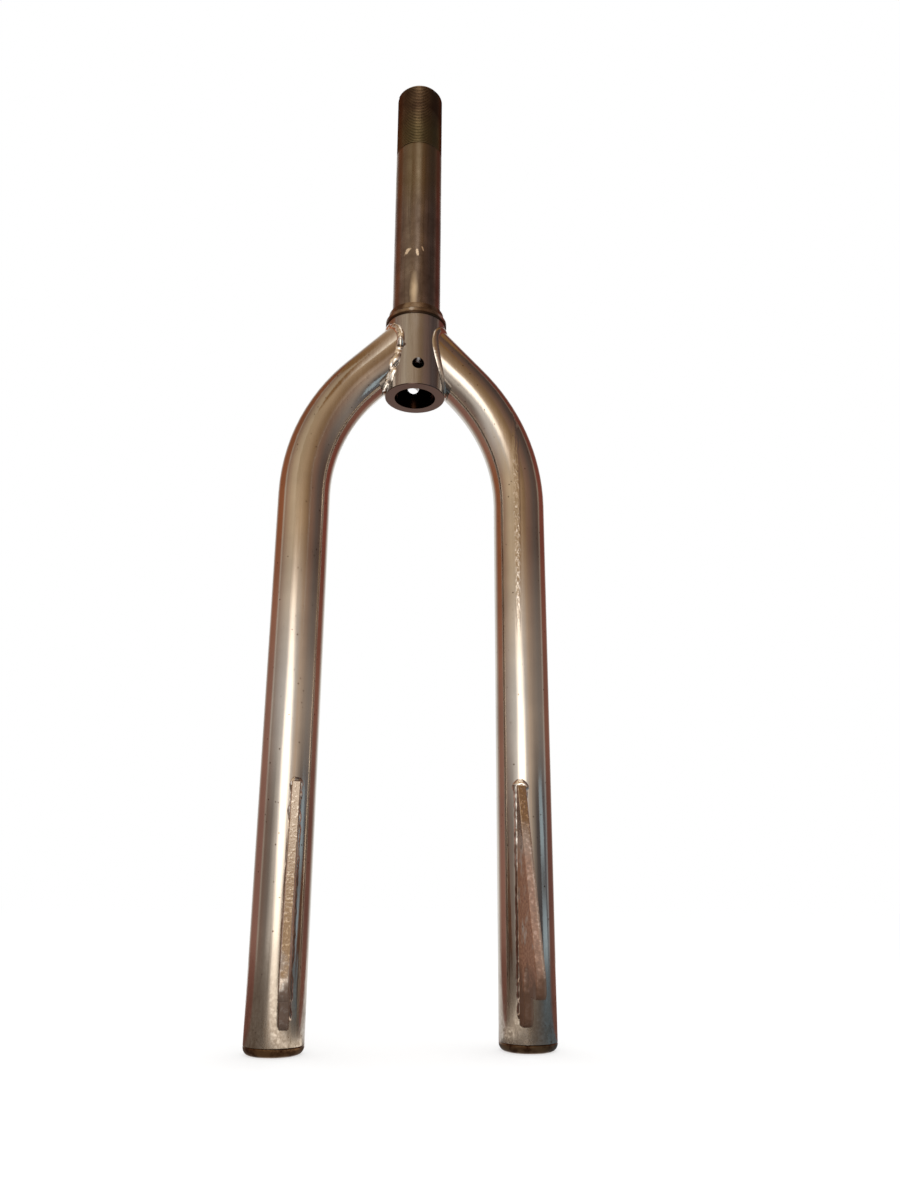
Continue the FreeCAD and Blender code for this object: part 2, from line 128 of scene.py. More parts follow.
# The thread is dark with rust and oil, and the bore and the base's lower face are dark brown.
on_thread = add(tree, "ShaderNodeMapRange", {0: where["Z"], 1: 110.2 * MM, 2: 113.0 * MM})
rusty = add(tree, "ShaderNodeMix", {0: patchy.outputs[0], 6: linear("4a382b"), 7: linear("6b5843")},
            data_type="RGBA")
greener = add(tree, "ShaderNodeMapRange", {0: where["Z"], 1: 136 * MM, 2: 122 * MM, 4: 0.55})
oily = add(tree, "ShaderNodeMix", {0: greener.outputs[0], 6: rusty.outputs[2], 7: linear("6f6546")},
           data_type="RGBA")
outside = add(tree, "ShaderNodeMix", {0: on_thread.outputs[0], 6: colour, 7: oily.outputs[2]},
              data_type="RGBA")
from_axis = add(tree, "ShaderNodeVectorMath", {0: place, 1: (1.0, 1.0, 0.0)}, operation="MULTIPLY")
radius = add(tree, "ShaderNodeVectorMath", {0: from_axis.outputs[0]}, operation="LENGTH")
in_bore = add(tree, "ShaderNodeMapRange", {0: radius.outputs["Value"], 1: 11.2 * MM, 2: 10.8 * MM})
lower_face = add(tree, "ShaderNodeMapRange", {0: where["Z"], 1: -41.0 * MM, 2: -41.4 * MM})
dark_brown_mask = add(tree, "ShaderNodeMath", {0: in_bore.outputs[0], 1: lower_face.outputs[0]}, operation="MAXIMUM")
whole = add(tree, "ShaderNodeMix", {0: dark_brown_mask.outputs[0], 6: outside.outputs[2], 7: linear("4a2f22")},
            data_type="RGBA")
tree.links.new(whole.outputs[2], shader.inputs["Base Color"])
satin = add(tree, "ShaderNodeMapRange", {0: smudges.outputs[0], 1: 0.3, 2: 0.7, 3: 0.36, 4: 0.22})
glossier = add(tree, "ShaderNodeMath", {0: under_race.outputs[0], 1: -0.1, 2: satin.outputs[0]},
               operation="MULTIPLY_ADD")
tree.links.new(glossier.outputs[0], shader.inputs["Roughness"])
dents = add(tree, "ShaderNodeBump", {"Height": streaks.outputs[0], "Strength": 0.12, "Distance": 0.2 * MM})
tree.links.new(dents.outputs[0], shader.inputs["Normal"])
nodes["steerer_tube"].material_slots[0].material = worn_chrome


# Thread: 24 turns to the inch, cut on the upper end of the steerer. The solids leave the turns off; here
# they are one ridge wound on the core of the thread, in the steerer's own steel.
THREAD_PITCH = 25.4 / 24 * MM
THREAD_CORE_R = 12.07 * MM
THREAD_FOOT = 112.6 * MM
THREAD_RISE = 38.6 * MM
RIDGE_R = 0.60 * MM


def new_tree(name, **inputs):
    """An empty Geometry Nodes tree with a geometry input, the named inputs and a geometry output."""
    tree = bpy.data.node_groups.new(name, "GeometryNodeTree")
    tree.interface.new_socket("Geometry", in_out="INPUT", socket_type="NodeSocketGeometry")
    for label, kind in inputs.items():
        tree.interface.new_socket(label, in_out="INPUT", socket_type=kind)
    tree.interface.new_socket("Geometry", in_out="OUTPUT", socket_type="NodeSocketGeometry")
    return tree, tree.nodes.new("NodeGroupInput").outputs


def made(name, start, tree, values):
    """The plain mesh that a tree gives on a starting mesh, as an object at the origin."""
    source = bpy.data.objects.new(name, start)
    bpy.context.scene.collection.objects.link(source)
    modifier = source.modifiers.new(tree.name, "NODES")
    modifier.node_group = tree
    for item in tree.interface.items_tree:
        if item.in_out == "INPUT" and item.name in values:
            modifier[item.identifier] = values[item.name]
    ready = source.evaluated_get(bpy.context.evaluated_depsgraph_get())
    mesh = bpy.data.meshes.new_from_object(ready)
    bpy.data.objects.remove(source)
    piece = bpy.data.objects.new(name, mesh)
    bpy.context.scene.collection.objects.link(piece)
    return piece


thread_tree, given = new_tree("thread_turns", Pitch="NodeSocketFloat", Core="NodeSocketFloat",
                              Rise="NodeSocketFloat", Start="NodeSocketFloat", Ridge="NodeSocketFloat",
                              Finish="NodeSocketMaterial")
turns = add(thread_tree, "ShaderNodeMath", {0: given["Rise"], 1: given["Pitch"]}, operation="DIVIDE")
helix = add(thread_tree, "GeometryNodeCurveSpiral",
            {"Resolution": 56, "Rotations": turns.outputs[0], "Start Radius": given["Core"],
             "End Radius": given["Core"], "Height": given["Rise"]})
upright = add(thread_tree, "GeometryNodeSetCurveNormal", {"Curve": helix.outputs[0]}, mode="Z_UP")
ridge = add(thread_tree, "GeometryNodeCurvePrimitiveCircle", {"Resolution": 4, "Radius": given["Ridge"]})
wound = add(thread_tree, "GeometryNodeCurveToMesh",
            {"Curve": upright.outputs[0], "Profile Curve": ridge.outputs[0], "Fill Caps": True})
lift = add(thread_tree, "ShaderNodeCombineXYZ", {"Z": given["Start"]})
raised = add(thread_tree, "GeometryNodeTransform",
             {"Geometry": wound.outputs[0], "Translation": lift.outputs[0]})
solid = add(thread_tree, "GeometryNodeRealizeInstances", {"Geometry": raised.outputs[0]})
coated = add(thread_tree, "GeometryNodeSetMaterial",
             {"Geometry": solid.outputs[0], "Material": given["Finish"]})
add(thread_tree, "NodeGroupOutput", {0: coated.outputs[0]})
thread = made("thread_turns", bpy.data.meshes.new("thread_turns_start"), thread_tree,
              {"Pitch": THREAD_PITCH, "Core": THREAD_CORE_R, "Rise": THREAD_RISE, "Start": THREAD_FOOT,
               "Ridge": RIDGE_R, "Finish": worn_chrome})
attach(thread, "root")


# Crown race: the lower bearing's ring of hard steel, turned and ground, pressed on its seat above the base.
# Its flange closes down on the base with a dark joint.

# Turned hard steel: fine rings run round it, drawn coarser than they are so that they show. Old grease has
# left it dull and brown, and two pale spots in front are painted highlights.
race_steel, tree, shader, place = new_finish("turned_hard_steel")
turned = add(tree, "ShaderNodeMapping",
             {"Vector": place, "Scale": (1 / (30 * MM), 1 / (30 * MM), 1 / (0.7 * MM))})
marks = add(tree, "ShaderNodeTexNoise", {"Vector": turned.outputs[0], "Scale": 1.0, "Detail": 2.0})
grease = add(tree, "ShaderNodeTexNoise", {"Vector": place, "Scale": 1 / (7 * MM), "Detail": 4.0})
dirty = add(tree, "ShaderNodeMapRange", {0: grease.outputs[0], 1: 0.42, 2: 0.68})
greasy = add(tree, "ShaderNodeMix", {0: dirty.outputs[0], 6: linear("93826f"), 7: linear("5a4636")},
             data_type="RGBA")
where = add(tree, "ShaderNodeSeparateXYZ", {0: place}).outputs
joint = add(tree, "ShaderNodeMapRange", {0: where["Z"], 1: 1.4 * MM, 2: 0.8 * MM})
colour = add(tree, "ShaderNodeMix", {0: joint.outputs[0], 6: greasy.outputs[2], 7: linear("463528")},
             data_type="RGBA").outputs[2]
# Two pale spots on the front of the flange: painted highlights.
for x, z, wide in ((-4.0, 2.4, 1.8), (12.2, 2.4, 2.6)):
    spot = add(tree, "ShaderNodeMapping",
               {"Vector": place, "Location": (x * MM, -12 * MM, z * MM),
                "Scale": (wide * MM, 12 * MM, 1.8 * MM)}, vector_type="TEXTURE")
    away = add(tree, "ShaderNodeVectorMath", {0: spot.outputs[0]}, operation="LENGTH")
    painted_highlight_spot = add(tree, "ShaderNodeMapRange", {0: away.outputs["Value"], 1: 1.0, 2: 0.3, 4: 0.85})
    colour = add(tree, "ShaderNodeMix", {0: painted_highlight_spot.outputs[0], 6: colour, 7: linear("dcdde0")},
                 data_type="RGBA").outputs[2]
tree.links.new(colour, shader.inputs["Base Color"])
shader.inputs["Roughness"].default_value = 0.33
rings = add(tree, "ShaderNodeBump", {"Height": marks.outputs[0], "Strength": 0.25, "Distance": 0.15 * MM})
tree.links.new(rings.outputs[0], shader.inputs["Normal"])
nodes["crown_race"].material_slots[0].material = race_steel


# Legs: steel tube, bent cold, cut round at the top to fit the base, and chrome plated after welding. The
# solids' own tubes are kept.

# Pitted chrome on drawn tube: bright but hazy, with faint hairlines drawn coarser than they are, and small
# brown rust pits. A thin rough run down the right leg's front sparkles, and both feet are mottled brown.
leg_chrome, tree, shader, place = new_finish("pitted_chrome_tube")
height = add(tree, "ShaderNodeSeparateXYZ", {0: place}).outputs["Z"]
haze = add(tree, "ShaderNodeTexNoise",
           {"Vector": place, "Scale": 1 / (30 * MM), "Detail": 4.0, "Roughness": 0.55})
clouded = add(tree, "ShaderNodeMapRange", {0: haze.outputs[0], 1: 0.34, 2: 0.66})
plating = add(tree, "ShaderNodeMix", {0: clouded.outputs[0], 6: linear("b0a79d"), 7: linear("c0b6aa")},
              data_type="RGBA")
drawn = add(tree, "ShaderNodeMapping",
            {"Vector": place, "Scale": (1 / (1.2 * MM), 1 / (1.2 * MM), 1 / (30 * MM))})
hairlines = add(tree, "ShaderNodeTexNoise", {"Vector": drawn.outputs[0], "Scale": 1.0, "Detail": 3.0})
pits = add(tree, "ShaderNodeTexVoronoi", {"Vector": place, "Scale": 1 / (3.4 * MM), "Randomness": 1.0})
grain = add(tree, "ShaderNodeTexNoise", {"Vector": place, "Scale": 1 / (1.3 * MM), "Detail": 3.0})
pitted = add(tree, "ShaderNodeMath", {0: pits.outputs["Distance"], 1: 0.1}, operation="LESS_THAN")
some = add(tree, "ShaderNodeMath", {0: grain.outputs[0], 1: 0.5}, operation="GREATER_THAN")
pit = add(tree, "ShaderNodeMath", {0: pitted.outputs[0], 1: some.outputs[0]}, operation="MULTIPLY")
spotted = add(tree, "ShaderNodeMix", {0: pit.outputs[0], 6: plating.outputs[2], 7: linear("5b412c")},
              data_type="RGBA")
ragged = add(tree, "ShaderNodeMath", {0: grain.outputs[0], 1: 26 * MM, 2: height}, operation="MULTIPLY_ADD")
near_foot = add(tree, "ShaderNodeMapRange", {0: ragged.outputs[0], 1: -290 * MM, 2: -328 * MM})
run_down = add(tree, "ShaderNodeMapping",
               {"Vector": place, "Scale": (1 / (4 * MM), 1 / (4 * MM), 1 / (13 * MM))})
blots = add(tree, "ShaderNodeTexNoise",
            {"Vector": run_down.outputs[0], "Scale": 1.0, "Detail": 5.0, "Roughness": 0.62})
specks = add(tree, "ShaderNodeMapRange", {0: blots.outputs[0], 1: 0.44, 2: 0.66, 4: 0.75})
mottle = add(tree, "ShaderNodeMapRange", {0: grain.outputs[0], 1: 0.3, 2: 0.62, 4: 0.55})
marked = add(tree, "ShaderNodeMath", {0: specks.outputs[0], 1: mottle.outputs[0]}, operation="MAXIMUM")
stain = add(tree, "ShaderNodeMath", {0: near_foot.outputs[0], 1: marked.outputs[0]}, operation="MULTIPLY")
stained = add(tree, "ShaderNodeMix", {0: stain.outputs[0], 6: spotted.outputs[2], 7: linear("6d5a45")},
              data_type="RGBA")
tree.links.new(stained.outputs[2], shader.inputs["Base Color"])
hazy = add(tree, "ShaderNodeMapRange", {0: hairlines.outputs[0], 1: 0.3, 2: 0.7, 3: 0.09, 4: 0.16})
rough = add(tree, "ShaderNodeMath", {0: stain.outputs[0], 1: 0.25, 2: hazy.outputs[0]},
            operation="MULTIPLY_ADD")
tree.links.new(rough.outputs[0], shader.inputs["Roughness"])
run_middle = (50.4 * MM, -12.2 * MM, -104 * MM)
from_run = add(tree, "ShaderNodeVectorMath", {0: place, 1: run_middle}, operation="SUBTRACT")
run_parts = add(tree, "ShaderNodeVectorMath",
                {0: from_run.outputs[0], 1: (1 / (2.1 * MM), 1 / (9 * MM), 1 / (70 * MM))},
                operation="MULTIPLY")
run_reach = add(tree, "ShaderNodeVectorMath", {0: run_parts.outputs[0]}, operation="LENGTH")
in_run = add(tree, "ShaderNodeMapRange", {0: run_reach.outputs["Value"], 1: 1.0, 2: 0.55})
dashes = add(tree, "ShaderNodeMapping",
             {"Vector": place, "Scale": (1 / (0.9 * MM), 1 / (0.9 * MM), 1 / (3.2 * MM))})
sparkle = add(tree, "ShaderNodeTexNoise", {"Vector": dashes.outputs[0], "Scale": 1.0, "Detail": 2.0})
roughened = add(tree, "ShaderNodeMath", {0: in_run.outputs[0], 1: sparkle.outputs[0]}, operation="MULTIPLY")
relief = add(tree, "ShaderNodeMath", {0: hairlines.outputs[0], 1: 0.08, 2: roughened.outputs[0]},
             operation="MULTIPLY_ADD")
skin = add(tree, "ShaderNodeBump", {"Height": relief.outputs[0], "Strength": 0.65, "Distance": 0.42 * MM})
tree.links.new(skin.outputs[0], shader.inputs["Normal"])
for name in ("leg_left", "leg_right"):
    nodes[name].material_slots[0].material = leg_chrome


# Crown welds: the bead run by hand round each leg's upper end, and plated with the rest. The left one is
# coarse, with long lumps low on its front; the right one is smooth and has the legs' own finish.
RIPPLE_SKIN = 0.32 * MM
EASE_STEPS = 9
LEG_R = 12.7 * MM
LEG_X = 54 * MM
LEG_LEAN = math.radians(44)
LEGS_CROSS_Z = -5.2 * MM
BASE_R = 15.5 * MM

bead_tree, given = new_tree("weld_ripples", Spacing="NodeSocketFloat", Width="NodeSocketFloat",
                            Height="NodeSocketFloat", Length="NodeSocketFloat", Smallest="NodeSocketFloat",
                            Wander="NodeSocketFloat", Seed="NodeSocketInt", Finish="NodeSocketMaterial")
seam_line = add(bead_tree, "GeometryNodeMeshToCurve", {"Mesh": given["Geometry"]})
stepped = add(bead_tree, "GeometryNodeResampleCurve",
              {"Curve": seam_line.outputs[0], "Length": given["Spacing"]}, mode="LENGTH")
along = add(bead_tree, "GeometryNodeInputTangent", {})
away = add(bead_tree, "GeometryNodeInputNamedAttribute", {"Name": "outward"}, data_type="FLOAT_VECTOR")
turn = add(bead_tree, "FunctionNodeAxesToRotation", {0: along.outputs[0], 1: away.outputs[0]},
           primary_axis="Z", secondary_axis="X")
drop = add(bead_tree, "GeometryNodeMeshIcoSphere", {"Radius": 1.0, "Subdivisions": 3})
size = add(bead_tree, "FunctionNodeRandomValue", {2: given["Smallest"], 3: 1.0, "Seed": given["Seed"]},
           data_type="FLOAT")
full = add(bead_tree, "ShaderNodeCombineXYZ",
           {"X": given["Height"], "Y": given["Width"], "Z": given["Length"]})
shape = add(bead_tree, "ShaderNodeVectorMath", {0: full.outputs[0], "Scale": size.outputs[1]},
            operation="SCALE")
back = add(bead_tree, "ShaderNodeMath", {0: given["Wander"], 1: -1.0}, operation="MULTIPLY")
shift = add(bead_tree, "FunctionNodeRandomValue",
            {0: back.outputs[0], 1: given["Wander"], "Seed": given["Seed"]}, data_type="FLOAT_VECTOR")
moved = add(bead_tree, "GeometryNodeSetPosition",
            {"Geometry": stepped.outputs[0], "Offset": shift.outputs[0]})
ripple = add(bead_tree, "GeometryNodeInstanceOnPoints",
             {"Points": moved.outputs[0], "Instance": drop.outputs[0], "Rotation": turn.outputs[0],
              "Scale": shape.outputs[0]})
solid = add(bead_tree, "GeometryNodeRealizeInstances", {"Geometry": ripple.outputs[0]})
coated = add(bead_tree, "GeometryNodeSetMaterial",
             {"Geometry": solid.outputs[0], "Material": given["Finish"]})
add(bead_tree, "NodeGroupOutput", {0: coated.outputs[0]})


def weld_bead(name, points, outward, closed, values, finish):
    """A welded bead: overlapping flat ripples set along a path, each facing outward, melted into one skin."""
    path = bpy.data.meshes.new(f"{name}_path")
    links = [(number, number + 1) for number in range(len(points) - 1)]
    path.from_pydata(points, links + ([(len(points) - 1, 0)] if closed else []), [])
    facing = path.attributes.new("outward", "FLOAT_VECTOR", "POINT")
    for number, direction in enumerate(outward):
        facing.data[number].vector = direction
    bead = made(name, path, bead_tree, {**values, "Finish": finish})
    melt = bead.modifiers.new("melt", "REMESH")
    melt.mode = "VOXEL"
    melt.voxel_size = RIPPLE_SKIN
    ease = bead.modifiers.new("ease", "SMOOTH")
    ease.factor = 0.5
    ease.iterations = EASE_STEPS
    mesh = bpy.data.meshes.new_from_object(bead.evaluated_get(bpy.context.evaluated_depsgraph_get()))
    bead.modifiers.clear()
    bead.data = mesh
    mesh.materials.clear()
    mesh.materials.append(finish)
    mesh.shade_smooth()
    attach(bead, "root")
    return bead


# Chrome over a rippled bead: bright on the crests and brown in the dips. The beads beside the axle plates
# have it too, and there it turns brown towards the ground.
bead_chrome, tree, shader, place = new_finish("chrome_on_weld_bead")
dips = add(tree, "ShaderNodeTexNoise",
           {"Vector": place, "Scale": 1 / (3.2 * MM), "Detail": 4.0, "Roughness": 0.65})
crests = add(tree, "ShaderNodeMapRange", {0: dips.outputs[0], 1: 0.34, 2: 0.56})
sooty = add(tree, "ShaderNodeMix", {0: crests.outputs[0], 6: linear("7a6654"), 7: linear("ece6de")},
            data_type="RGBA")
height = add(tree, "ShaderNodeSeparateXYZ", {0: place}).outputs["Z"]
by_the_plate = add(tree, "ShaderNodeMapRange", {0: height, 1: -264 * MM, 2: -282 * MM, 4: 0.8})
browner = add(tree, "ShaderNodeMix", {0: by_the_plate.outputs[0], 6: sooty.outputs[2], 7: linear("6a5140")},
              data_type="RGBA")
tree.links.new(browner.outputs[2], shader.inputs["Base Color"])
shader.inputs["Roughness"].default_value = 0.14
crust = add(tree, "ShaderNodeBump", {"Height": dips.outputs[0], "Strength": 0.1, "Distance": 0.4 * MM})
tree.links.new(crust.outputs[0], shader.inputs["Normal"])


def cope_line(side, steps=90):
    """Points round the line where a leg's upper end meets the base, and the way out of the corner at each."""
    down_leg = Vector((side * math.sin(LEG_LEAN), 0, -math.cos(LEG_LEAN)))
    across = Vector((0, 1, 0))
    points, outward = [], []
    for step in range(steps):
        turn = 2 * math.pi * step / steps
        off_leg = across * math.cos(turn) + down_leg.cross(across) * math.sin(turn)
        spoke = off_leg * LEG_R
        reach = math.sqrt(BASE_R ** 2 - spoke.y ** 2)
        spot = Vector((0, 0, LEGS_CROSS_Z)) + spoke + down_leg * ((side * reach - spoke.x) / down_leg.x)
        off_base = Vector((spot.x, spot.y, 0)).normalized()
        points.append(spot)
        outward.append((off_leg + off_base).normalized())
    return points, outward


seam, outward = cope_line(-1)
weld = weld_bead("crown_bead_left", seam, outward, True,
                 {"Spacing": 1.8 * MM, "Width": 2.6 * MM, "Height": 1.35 * MM, "Length": 2.8 * MM,
                  "Smallest": 0.8, "Wander": 0.2 * MM, "Seed": 4}, bead_chrome)
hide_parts("crown_weld_left")
low_front = [number for number, spot in enumerate(seam) if spot.y < -5 * MM and spot.z < -17 * MM]
weld_bead("crown_lumps_left", [seam[number] for number in low_front],
          [outward[number] for number in low_front], False,
          {"Spacing": 4.2 * MM, "Width": 2.4 * MM, "Height": 1.9 * MM, "Length": 5.2 * MM,
           "Smallest": 0.65, "Wander": 1.2 * MM, "Seed": 5}, bead_chrome)
weld = weld_bead("crown_bead_right", *cope_line(1), True,
                 {"Spacing": 0.9 * MM, "Width": 2.2 * MM, "Height": 1.2 * MM, "Length": 2.6 * MM,
                  "Smallest": 0.98, "Wander": 0.02 * MM, "Seed": 9}, leg_chrome)
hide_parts("crown_weld_right")


# Foot caps: a turned steel plug closes each tube end, and the fork stands on it. Its rounded rim is as wide
# as the tube, below a thin groove where the two meet.
CAP_TOP = -347.8 * MM
CAP_FOOT = -351.6 * MM
CAP_ROUND = 3.2 * MM
GROOVE_DEEP = 0.45 * MM
GROOVE_TALL = 0.55 * MM

# Thin chrome on turned steel: brown, worn darker and rougher in blotches where it has stood on the ground.
cap_steel, tree, shader, place = new_finish("thin_brown_chrome")
wear = add(tree, "ShaderNodeTexNoise",
           {"Vector": place, "Scale": 1 / (5 * MM), "Detail": 5.0, "Roughness": 0.65})
dark_brown_mask = add(tree, "ShaderNodeMapRange", {0: wear.outputs[0], 1: 0.42, 2: 0.64})
colour = add(tree, "ShaderNodeMix", {0: dark_brown_mask.outputs[0], 6: linear("7d6247"), 7: linear("43291a")},
             data_type="RGBA")
tree.links.new(colour.outputs[2], shader.inputs["Base Color"])
rougher = add(tree, "ShaderNodeMapRange", {0: dark_brown_mask.outputs[0], 3: 0.3, 4: 0.55})
tree.links.new(rougher.outputs[0], shader.inputs["Roughness"])
knocks = add(tree, "ShaderNodeBump", {"Height": wear.outputs[0], "Strength": 0.3, "Distance": 0.4 * MM})
tree.links.new(knocks.outputs[0], shader.inputs["Normal"])


def smooth_piece(name, mesh, finish):
    """A finished piece from a mesh in the making: its faces outward, smooth but for its sharp edges."""
    bmesh.ops.recalc_face_normals(mesh, faces=mesh.faces)
    data = bpy.data.meshes.new(name)
    mesh.to_mesh(data)
    mesh.free()
    data.materials.append(finish)
    data.shade_smooth()
    data.set_sharp_from_angle(angle=math.radians(35))
    piece = bpy.data.objects.new(name, data)
    bpy.context.scene.collection.objects.link(piece)
    return piece


def turned_piece(name, middle, outline, finish, sides=96):
    """A piece turned about an upright axis: the outline gives radius and height, from axis to axis."""
    mesh = bmesh.new()
    turns = [2 * math.pi * step / sides for step in range(sides)]
    rows = []
    for radius, height in outline:
        if radius == 0:
            rows.append([mesh.verts.new((middle, 0, height))])
        else:
            rows.append([mesh.verts.new((middle + radius * math.cos(turn), radius * math.sin(turn), height))
                         for turn in turns])
    for lower, upper in zip(rows, rows[1:]):
        for step in range(sides):
            corners = [lower[step % len(lower)], lower[(step + 1) % len(lower)],
                       upper[(step + 1) % len(upper)], upper[step % len(upper)]]
            mesh.faces.new(list(dict.fromkeys(corners)))
    return smooth_piece(name, mesh, finish)


rim = [(LEG_R - CAP_ROUND + CAP_ROUND * math.sin(turn), CAP_FOOT + CAP_ROUND - CAP_ROUND * math.cos(turn))
       for turn in (math.radians(9 * step) for step in range(11))]
groove = [(LEG_R, CAP_TOP - GROOVE_TALL), (LEG_R - GROOVE_DEEP, CAP_TOP), (0, CAP_TOP)]
for word, side in (("left", -1), ("right", 1)):
    cap = turned_piece(f"foot_plug_{word}", side * LEG_X, [(0, CAP_FOOT)] + rim + groove, cap_steel)
    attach(cap, "root")
    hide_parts(f"foot_cap_{word}")


# Axle plates: cut from 4 mm steel, slotted for the axle, welded edge-on to the front of each leg and plated
# with it. Their shape is the solids', with the sharp edges worn round.
EDGE_WEAR = 0.45 * MM

# Chrome on rough-cut plate: the cut edges glitter, the faces are flatter and greyer. Below the upper end
# the plating is a dull brown, partly a rusted crust and partly a painted reflection of a brown floor, on the
# faces and on the right plate's inner front edge, and the low ends are darkest.
plate_chrome, tree, shader, place = new_finish("chrome_on_cut_plate")
facing = add(tree, "ShaderNodeNewGeometry", {}).outputs["Normal"]
sideways = add(tree, "ShaderNodeSeparateXYZ", {0: facing}).outputs["X"]
flat = add(tree, "ShaderNodeMath", {0: sideways}, operation="ABSOLUTE")
edge = add(tree, "ShaderNodeMapRange", {0: flat.outputs[0], 1: 0.8, 2: 0.5})
scale = add(tree, "ShaderNodeTexNoise",
            {"Vector": place, "Scale": 1 / (1.3 * MM), "Detail": 3.0, "Roughness": 0.6})
blotch = add(tree, "ShaderNodeTexNoise", {"Vector": place, "Scale": 1 / (9 * MM), "Detail": 3.0})
# Brown blotches below the plates' upper ends: partly rust, partly a painted reflection of a brown floor.
rust_reflection_blotches = add(tree, "ShaderNodeMapRange", {0: blotch.outputs[0], 1: 0.26, 2: 0.46, 4: 0.95})
where = add(tree, "ShaderNodeSeparateXYZ", {0: place}).outputs
below_end = add(tree, "ShaderNodeMapRange", {0: where["Z"], 1: -256 * MM, 2: -274 * MM})
face_rust_and_reflection = add(tree, "ShaderNodeMath", {0: rust_reflection_blotches.outputs[0], 1: below_end.outputs[0]}, operation="MULTIPLY")
# The right plate's inner front edge is browned the same way: partly rust, partly painted reflection.
right_plate = add(tree, "ShaderNodeMath", {0: where["X"], 1: 0.0}, operation="GREATER_THAN")
inner_side = add(tree, "ShaderNodeMapRange", {0: where["X"], 1: 51.8 * MM, 2: 50.6 * MM, 4: 0.75})
right_edge = add(tree, "ShaderNodeMath", {0: right_plate.outputs[0], 1: inner_side.outputs[0]},
                 operation="MULTIPLY")
edge_rust_and_reflection = add(tree, "ShaderNodeMath", {0: right_edge.outputs[0], 1: below_end.outputs[0]},
              operation="MULTIPLY")
rust_and_reflection = add(tree, "ShaderNodeMix", {0: edge.outputs[0], 2: face_rust_and_reflection.outputs[0], 3: edge_rust_and_reflection.outputs[0]})
uneven = add(tree, "ShaderNodeMath", {0: blotch.outputs[0], 1: 40 * MM, 2: where["Z"]},
             operation="MULTIPLY_ADD")
ends = add(tree, "ShaderNodeMapRange", {0: uneven.outputs[0], 1: -289 * MM, 2: -302 * MM, 4: 0.85})
glitter = add(tree, "ShaderNodeMapRange", {0: scale.outputs[0], 1: 0.54, 2: 0.66})
edge_colour = add(tree, "ShaderNodeMix", {0: glitter.outputs[0], 6: linear("c2b6aa"), 7: linear("f4eee6")},
                  data_type="RGBA")
plated = add(tree, "ShaderNodeMix", {0: edge.outputs[0], 6: linear("a89b8d"), 7: edge_colour.outputs[2]},
             data_type="RGBA")
crumbs = add(tree, "ShaderNodeMapRange", {0: scale.outputs[0], 1: 0.34, 2: 0.64})
rust_and_reflection_colour = add(tree, "ShaderNodeMix", {0: crumbs.outputs[0], 6: linear("764d38"), 7: linear("a67559")},
                  data_type="RGBA")
crusted_and_reflecting = add(tree, "ShaderNodeMix", {0: rust_and_reflection.outputs[0], 6: plated.outputs[2], 7: rust_and_reflection_colour.outputs[2]},
              data_type="RGBA")
ended = add(tree, "ShaderNodeMix", {0: ends.outputs[0], 6: crusted_and_reflecting.outputs[2], 7: linear("5a4030")},
            data_type="RGBA")
tree.links.new(ended.outputs[2], shader.inputs["Base Color"])
dull = add(tree, "ShaderNodeMath", {0: rust_and_reflection.outputs[0], 1: ends.outputs[0]}, operation="MAXIMUM")
metal = add(tree, "ShaderNodeMapRange", {0: dull.outputs[0], 2: 0.85, 3: 1.0, 4: 0.0})
tree.links.new(metal.outputs[0], shader.inputs["Metallic"])
shader.inputs["Specular IOR Level"].default_value = 0.04
rougher = add(tree, "ShaderNodeMapRange", {0: dull.outputs[0], 2: 0.9, 3: 0.14, 4: 0.6})
tree.links.new(rougher.outputs[0], shader.inputs["Roughness"])
rough_cut = add(tree, "ShaderNodeMapRange", {0: edge.outputs[0], 3: 0.03, 4: 0.3})
pocked = add(tree, "ShaderNodeMapRange", {0: dull.outputs[0], 3: 0.0, 4: 0.2})
depth = add(tree, "ShaderNodeMath", {0: rough_cut.outputs[0], 1: pocked.outputs[0]}, operation="MAXIMUM")
coarse = add(tree, "ShaderNodeMath", {0: scale.outputs[0], 1: depth.outputs[0]}, operation="MULTIPLY")
surface = add(tree, "ShaderNodeBump", {"Height": coarse.outputs[0], "Strength": 0.7, "Distance": 0.5 * MM})
tree.links.new(surface.outputs[0], shader.inputs["Normal"])
for word in ("left", "right"):
    blank = bmesh.new()
    blank.from_mesh(nodes[f"dropout_{word}"].data)
    bmesh.ops.remove_doubles(blank, verts=blank.verts, dist=0.002 * MM)
    bmesh.ops.dissolve_limit(blank, angle_limit=math.radians(1), verts=blank.verts, edges=blank.edges)
    plate = smooth_piece(f"axle_plate_{word}", blank, plate_chrome)
    soften = plate.modifiers.new("worn_edges", "BEVEL")
    soften.width = EDGE_WEAR
    soften.segments = 2
    soften.limit_method = "ANGLE"
    soften.angle_limit = math.radians(40)
    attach(plate, "root")
    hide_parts(f"dropout_{word}")


